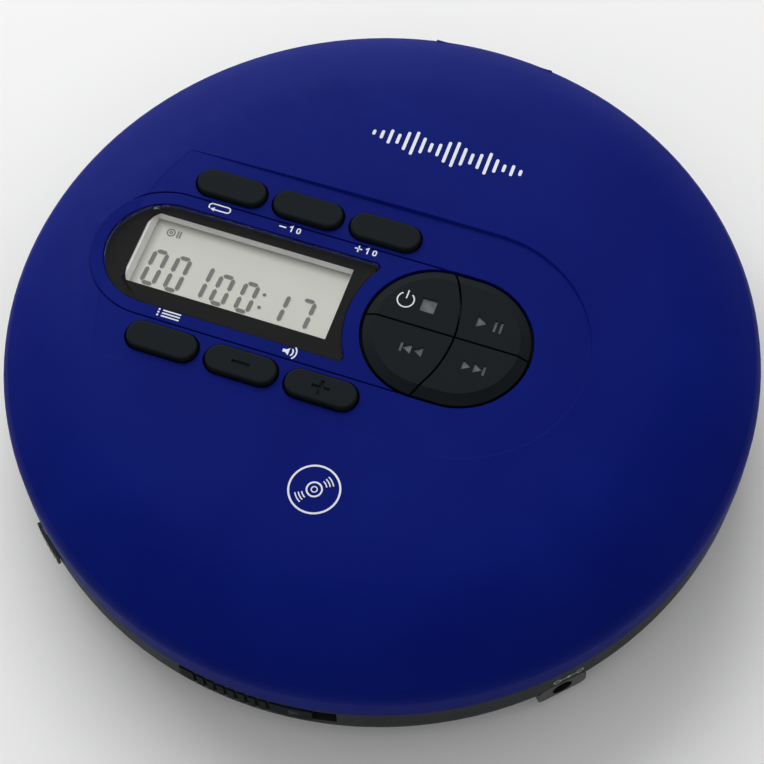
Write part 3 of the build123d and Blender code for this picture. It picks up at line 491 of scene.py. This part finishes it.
# lit bars of each figure that the display shows, named round from the top one
SEGMENTS = {"0": "abcdef", "1": "bc", "7": "abc"}


def seven_segments(figure, x, y, wide, tall, thick):
    """Outlines of the lit bars of one figure, whose lower left corner is at (x, y)."""
    half = tall / 2
    gap = 0.13
    lean = 0.04
    ends = {
        "a": ((0, tall), (wide, tall)), "d": ((0, 0), (wide, 0)),
        "f": ((0, half), (0, tall)), "b": ((wide, half), (wide, tall)),
        "e": ((0, 0), (0, half)), "c": ((wide, 0), (wide, half)),
    }
    bars = []
    for name in SEGMENTS[figure]:
        start, end = (Vector(p) for p in ends[name])
        along = (end - start).normalized()
        across = Vector((-along.y, along.x)) * thick / 2
        start, end = start + along * gap, end - along * gap
        slope = along * thick / 2
        shape = [start, start + slope + across, end - slope + across,
                 end, end - slope - across, start + slope - across]
        bars.append([(x + p.x + (p.y - half) * lean, y + p.y) for p in shape])
    return bars


def build_display():
    """Figures and signs on the display, and the black border of its window."""
    face = LCD_TOP
    centre_x = (BEZEL_LOW.x + BEZEL_HIGH.x) / 2
    centre_y = (BEZEL_LOW.y + BEZEL_HIGH.y) / 2
    foot = -6.85
    thick = 0.82
    # the track number is taller than the running time
    tall, short, wide = 7.1, 6.0, 2.35
    figures = [("0", -17.15, tall), ("0", -12.55, tall), ("1", -7.95, tall),
               ("0", -3.45, short), ("0", 1.45, short), ("1", 7.55, short), ("7", 12.6, short)]
    outlines = []
    for figure, x, height in figures:
        outlines += seven_segments(figure, centre_x + x, centre_y + foot + thick / 2, wide, height, thick)
    for y in (-4.65, -1.85):
        outlines.append(circle(centre_x + 5.5, centre_y + y, 0.36, 12))
    # a small disc sign in the upper corner, with two bars beside it
    x, y = centre_x - 15.9, centre_y + 5.15
    rings = [(circle(x, y, 0.85, 32), circle(x, y, 0.62, 32)),
             (circle(x, y, 0.34, 32), circle(x, y, 0.14, 32))]
    outlines.append(bar(x + 1.2, y - 0.75, x + 1.45, y + 0.75))
    outlines.append(bar(x + 1.7, y - 0.75, x + 1.95, y + 0.75))
    mark("lcd_figures", outlines, at_height(face), LID, SEGMENT, "lcd_grey", 0.005, 0.03, rings)
    # the figures throw a faint shade on the face behind them
    shifted = [[(x + 0.16, y - 0.14) for x, y in outline] for outline in outlines]
    mark("lcd_figure_shade", shifted, at_height(face), LID, SHADE, "lcd_grey", -0.02, 0.004)

    # the black border printed on the back of the window, open over the display frame
    inner_x0, inner_x1 = BEZEL_LOW.x + 0.1, BEZEL_HIGH.x - BEZEL_WALL + BEZEL_SHOWN
    inner_y0, inner_y1 = BEZEL_LOW.y + BEZEL_WALL - BEZEL_SHOWN, BEZEL_HIGH.y - BEZEL_WALL + BEZEL_SHOWN
    half = WINDOW_HALF - 0.12
    reach = WINDOW_ARC + 0.12
    corner = math.degrees(math.asin((half - 0.7) / reach))
    count = 24
    left_side = arc(POD_X, 0, half, 90, 270, count)
    right_side = arc(*CLUSTER, reach, 180 + corner, 180 - corner, count)
    outer = left_side + [(right_side[0][0] - 1.4, -half)] + right_side + [(right_side[-1][0] - 1.4, half)]
    inner = ([(inner_x0, inner_y1 + (inner_y0 - inner_y1) * i / count) for i in range(count + 1)]
             + [((inner_x0 + inner_x1) / 2, inner_y0)]
             + [(inner_x1, inner_y0 + (inner_y1 - inner_y0) * i / count) for i in range(count + 1)]
             + [((inner_x0 + inner_x1) / 2, inner_y1)])
    mark("window_border", [], at_height(WINDOW_BOTTOM), LID, BORDER, "window_clear", 0.015, 0.05,
         [(outer, inner)])


# ---- printed signs on the lid ----


def label_centre(node, slide, toward_display):
    """Middle of the label that belongs to a button, slid along X and moved towards the display."""
    place = middle(node)
    return place.x + slide, place.y - math.copysign(toward_display, place.y)


def build_signs():
    """The printed signs of the buttons, and the switch-off sign on the stop key."""
    line = 0.26

    # play mode: a loop with an arrow head
    x, y = label_centre("button_mode", -0.6, 4.8)
    loop = [stroke(arc(x + 1.5, y, 0.6, -90, 90, 10) + arc(x - 1.5, y, 0.6, 90, 235, 10), line)]
    head = [(x - 0.9, y - 1.0), (x - 0.9, y - 0.1), (x - 1.7, y - 0.55)]
    tail = [stroke([(x - 0.9, y - 0.6), (x + 1.5, y - 0.6)], line)]
    mark("sign_loop", loop + tail + [head], on_panel, LID, PRINT, "gear_white")

    # ten back and ten ahead
    for node, name, slide, plus in (("button_skip_back_ten", "sign_ten_back", -1.4, False),
                                    ("button_skip_ahead_ten", "sign_ten_ahead", -1.7, True)):
        x, y = label_centre(node, slide, 4.8)
        shapes = [stroke([(x - 2.6, y), (x - 1.2, y)], line),
                  stroke([(x - 0.55, y + 0.3), (x - 0.1, y + 0.62), (x - 0.1, y - 0.62)], line)]
        if plus:
            shapes.append(stroke([(x - 1.9, y - 0.7), (x - 1.9, y + 0.7)], line))
        zero = (arc(x + 1.25, y + 0.2, 0.42, 0, 180, 10) + arc(x + 1.25, y - 0.2, 0.42, 180, 360, 10))
        hole = (arc(x + 1.25, y + 0.2, 0.18, 0, 180, 10) + arc(x + 1.25, y - 0.2, 0.18, 180, 360, 10))
        mark(name, shapes, on_panel, LID, PRINT, "gear_white", rings=[(zero, hole)])

    # stored order: a list of three lines
    x, y = label_centre("button_program", -0.9, 5.6)
    rows = [bar(x - 1.4, y + s - line / 2, x + 2.1, y + s + line / 2) for s in (-0.6, 0, 0.6)]
    dots = [circle(x - 2.1, y + s, 0.2, 12) for s in (-0.6, 0, 0.6)]
    mark("sign_list", rows + dots, on_panel, LID, PRINT, "gear_white")

    # loudness: a cone and two waves, between the two buttons
    x = (middle("button_volume_down").x + middle("button_volume_up").x) / 2 - 0.2
    y = label_centre("button_volume_up", 0, 5.5)[1]
    cone = [(x - 1.5, y - 0.3), (x - 0.9, y - 0.3), (x - 0.3, y - 0.75),
            (x - 0.3, y + 0.75), (x - 0.9, y + 0.3), (x - 1.5, y + 0.3)]
    waves = [stroke(arc(x - 0.5, y, radius, -48, 48, 12), line) for radius in (0.95, 1.6)]
    mark("sign_loudness", [cone] + waves, on_panel, LID, PRINT, "gear_white")

    # switch-off sign on the stop key
    x, y, radius = 3.3, 4.6, 1.55
    top = span("key_stop")[1].z
    shapes = [stroke(arc(x, y, radius, 125, 415, 40), 0.24),
              stroke([(x, y + 0.3), (x, y + radius + 0.5)], 0.24)]
    mark("sign_off", shapes, at_height(top), "key_stop", PRINT, "gear_white", -0.06, 0.03)


def build_key_inlays():
    """Paler paint in the floor of the signs that are sunk into the keys."""
    floor = span("key_stop")[1].z - SIGN_DEPTH
    lift = at_height(floor)

    def box_sign(x, y, wide, tall):
        return bar(x - wide / 2, y - tall / 2, x + wide / 2, y + tall / 2)

    def wedge(x, y, size, way):
        reach = size * math.sqrt(3) / 6
        return [(x + way * 2 * reach, y), (x - way * reach, y + size / 2), (x - way * reach, y - size / 2)]

    rib = 0.55
    stop, play, skip = 2.8, 2.4, 2.1
    play_x, play_y = 17.6, 4.5
    back_x, back_y = 8.0, -4.75
    ahead_x, ahead_y = 18.8, -4.8
    signs = {
        "key_stop": [box_sign(7.6, 4.7, stop, stop)],
        "key_play": [wedge(play_x, play_y, play, 1)]
                    + [box_sign(play_x + play * k, play_y, rib, play) for k in (1.15, 1.6)],
        "key_previous": [wedge(back_x + skip * k, back_y, skip, -1) for k in (-0.5, 0.5)]
                        + [box_sign(back_x - skip * 1.15, back_y, rib, skip)],
        "key_next": [wedge(ahead_x + skip * k, ahead_y, skip, 1) for k in (-0.5, 0.5)]
                    + [box_sign(ahead_x + skip * 1.15, ahead_y, rib, skip)],
    }
    for key, shapes in signs.items():
        for i, shape in enumerate(shapes):
            mark(f"inlay_{key}_{i}", [shape], lift, key, INLAY, "key_charcoal", -0.05, 0.02)


def build_emblems():
    """A row of level bars behind the display and a plain disc in front of it."""
    heights = [1.2, 2.0, 3.4, 2.4, 4.4, 5.6, 3.8, 2.2, 3.0, 5.0, 6.0, 4.2, 2.6, 3.6, 5.2, 3.2, 1.8, 2.6, 1.4]
    step, cap = 1.62, 0.31
    row_y = 38
    bars = []
    for i, tall in enumerate(heights):
        x = (i - (len(heights) - 1) / 2) * step
        rear = arc(x, row_y + tall / 2 - cap, cap, 0, 180, 8)
        bars.append(rear + arc(x, row_y - tall / 2 + cap, cap, 180, 360, 8))
    mark("emblem_levels", bars, on_dome, LID, PRINT, "gear_white", -0.08, 0.05)

    x, y = 0.6, -36.2
    rings = [(circle(x, y, 4.7, 64), circle(x, y, 4.35, 64)), (circle(x, y, 1.5, 40), circle(x, y, 1.2, 40)),
             (circle(x, y, 0.62, 24), circle(x, y, 0.42, 24))]
    glints = [stroke(arc(x, y, radius, start, start + 34, 14), 0.22)
              for start in (28, 208) for radius in (2.2, 2.8, 3.4)]
    mark("emblem_disc", glints, on_dome, LID, PRINT, "gear_white", -0.08, 0.05, rings)


# ---- marks on the rim ----


def along_rim(degrees):
    """Distance along the rim from the front, for a turn in degrees."""
    return math.radians(degrees) * BASE_RADIUS


def build_rim_marks():
    """Signs beside and on the release slider, and over the power socket."""
    wall = on_rim(BASE_RADIUS)
    # three chevrons beside the release slider, near-black as painted shade in their sunk grooves
    chevrons = []
    for i in range(3):
        x = along_rim(15.6 + i * 2.2)
        chevrons.append(stroke([(x - 0.55, 11.4), (x + 0.55, 10.4), (x - 0.55, 9.4)], 0.5))
    mark("sign_release", chevrons, wall, BASE, SUNK_SHADE, "jack_black", -0.05, 0.02)
    # arrow on the slider, near-black as painted shade in its sunk groove
    x = along_rim(6.9)
    arrow = [(x - 1.1, 9.4), (x + 1.2, 10.5), (x - 1.1, 11.6)]
    mark("sign_slider_arrow", [arrow], on_rim(CASE_RADIUS), "release_slider", SUNK_SHADE, "jack_black", -0.3, 0.01)
    # polarity sign over the power socket
    x, y = along_rim(47.3), 9.6
    rings = [(circle(x + s * 2.3, y, 0.75, 24), circle(x + s * 2.3, y, 0.55, 24)) for s in (-1, 1)]
    shapes = [circle(x, y, 0.42, 20),
              bar(x - 1.5, y - 0.1, x - 0.4, y + 0.1), bar(x + 0.4, y - 0.1, x + 1.5, y + 0.1)]
    mark("sign_power", shapes, wall, BASE, PRINT_GREY, "gear_white", -0.05, 0.02, rings)


# ---- details under the lid and inside ----


def build_hub_pad():
    """The rubber ring that the disc rests on."""
    mesh = bmesh.new()
    band(mesh, circle(0, 0, 13.4, 96), circle(0, 0, 9.7, 96), at_height(DISC_SEAT), -0.02, 0.09)
    piece("hub_pad", mesh, "spindle", MATERIALS["rubber_black"], "rubber_black")


def build_pickup_details():
    """Two focus coils, one on either side of the lens."""
    x = middle("lens_holder").x
    height = span("lens_holder")[1].z - 1.0
    mesh = bmesh.new()
    for y in (-3.3, 3.3):
        band(mesh, pill(x, y, 4.6, 1.5, 8), pill(x, y, 3.6, 0.6, 8), at_height(height), -0.05, 0.25)
    piece("focus_coils", mesh, "lens", COPPER, "spring_steel")


def build_deck_details():
    """Turning arrows on the floor of the well."""
    radius = 48
    shapes = []
    for start in (115, 205, 295):
        shapes.append(stroke(arc(0, 0, radius, start, start + 16, 20), 0.9))
        end = math.radians(start + 17.6)
        out = Vector((math.cos(end), math.sin(end)))
        along = Vector((-math.sin(end), math.cos(end)))
        tip = out * radius
        back = tip - along * 2.2
        shapes.append([tuple(tip), tuple(back + out * 1.3), tuple(back - out * 1.3)])
    mark("deck_arrows", shapes, at_height(WELL_FLOOR), BASE, PRINT_GREY, "drive_black", -0.03, 0.06)


# ---- stage ----


def build_stage():
    """A wide pale floor."""
    mesh = bmesh.new()
    size = 3.0
    corners = [mesh.verts.new((x * size, y * size, 0)) for x, y in ((-1, -1), (1, -1), (1, 1), (-1, 1))]
    mesh.faces.new(corners)
    data = bpy.data.meshes.new("floor")
    mesh.to_mesh(data)
    mesh.free()
    floor = bpy.data.objects.new("floor", data)
    bpy.context.collection.objects.link(floor)
    made = Shader("floor_white")
    slow = made.noise(400.0, 2.0)
    made.set(Specular_IOR_Level=0.1)
    tone = made.mix(made.spread(slow, 0, 1), (0.90, 0.90, 0.90), (0.92, 0.92, 0.92))
    data.materials.append(made.finish(tone, made.spread(slow, 0.7, 0.8)))


def build_world():
    """A room that is brightest low down behind the object and dimmer in front of it."""
    world = bpy.data.worlds.new("studio")
    bpy.context.scene.world = world
    world.use_nodes = True
    tree = world.node_tree
    back = tree.nodes["Background"]
    place = tree.nodes.new("ShaderNodeTexCoord")
    toward = tree.nodes.new("ShaderNodeVectorMath")
    toward.operation = "DOT_PRODUCT"
    toward.inputs[1].default_value = Vector((-0.35, 0.93, -0.25)).normalized()
    ramp = tree.nodes.new("ShaderNodeMapRange")
    ramp.interpolation_type = "SMOOTHSTEP"
    ramp.inputs["From Min"].default_value = 0.1
    ramp.inputs["From Max"].default_value = 1.1
    ramp.inputs["To Min"].default_value = 0.52
    ramp.inputs["To Max"].default_value = 0.82
    tree.links.new(place.outputs["Generated"], toward.inputs[0])
    tree.links.new(toward.outputs["Value"], ramp.inputs["Value"])
    tree.links.new(ramp.outputs["Result"], back.inputs["Strength"])
    back.inputs["Color"].default_value = (1.0, 1.0, 1.0, 1.0)


def soft_light(name, place, aim, width, height, power):
    """A rectangular lamp of a size in metres and a power in watts."""
    data = bpy.data.lights.new(name, "AREA")
    data.shape = "RECTANGLE"
    data.size, data.size_y, data.energy = width, height, power
    made = bpy.data.objects.new(name, data)
    made.location = place
    made.rotation_mode = "QUATERNION"
    made.rotation_quaternion = (Vector(aim) - Vector(place)).to_track_quat("-Z", "Y")
    bpy.context.collection.objects.link(made)


def build_lights():
    """One soft lamp behind and to the left, and plain colours without a film look."""
    soft_light("behind_left", (-0.68, 0.89, 0.80), (0, 0, 0), 1.5, 1.0, 16.5)
    bpy.context.scene.view_settings.view_transform = "Standard"


def build_camera():
    """The view from the front, above and a little to the right."""
    azimuth, elevation, roll = math.radians(21.17), math.radians(60.58), math.radians(-2.04)
    distance, target = 0.38766, Vector((0, 0, 0.0235))
    right = Vector((math.cos(azimuth), math.sin(azimuth), 0))
    back = Vector((math.sin(azimuth) * math.cos(elevation), -math.cos(azimuth) * math.cos(elevation),
                   math.sin(elevation)))
    up = back.cross(right)
    turned_right = right * math.cos(roll) + up * math.sin(roll)
    turned_up = up * math.cos(roll) - right * math.sin(roll)
    data = bpy.data.cameras.new("camera")
    data.sensor_width = 36.0
    data.lens = 99.53
    data.shift_x, data.shift_y = 0.0015, -0.0657
    made = bpy.data.objects.new("camera", data)
    bpy.context.collection.objects.link(made)
    made.rotation_mode = "QUATERNION"
    made.rotation_quaternion = Matrix((turned_right, turned_up, back)).transposed().to_quaternion()
    made.location = target + back * distance
    bpy.context.scene.camera = made


build_camera()
build_stage()
build_world()
build_lights()
dress_nodes()
build_display()
build_signs()
build_key_inlays()
build_emblems()
build_rim_marks()
build_hub_pad()
build_pickup_details()
build_deck_details()
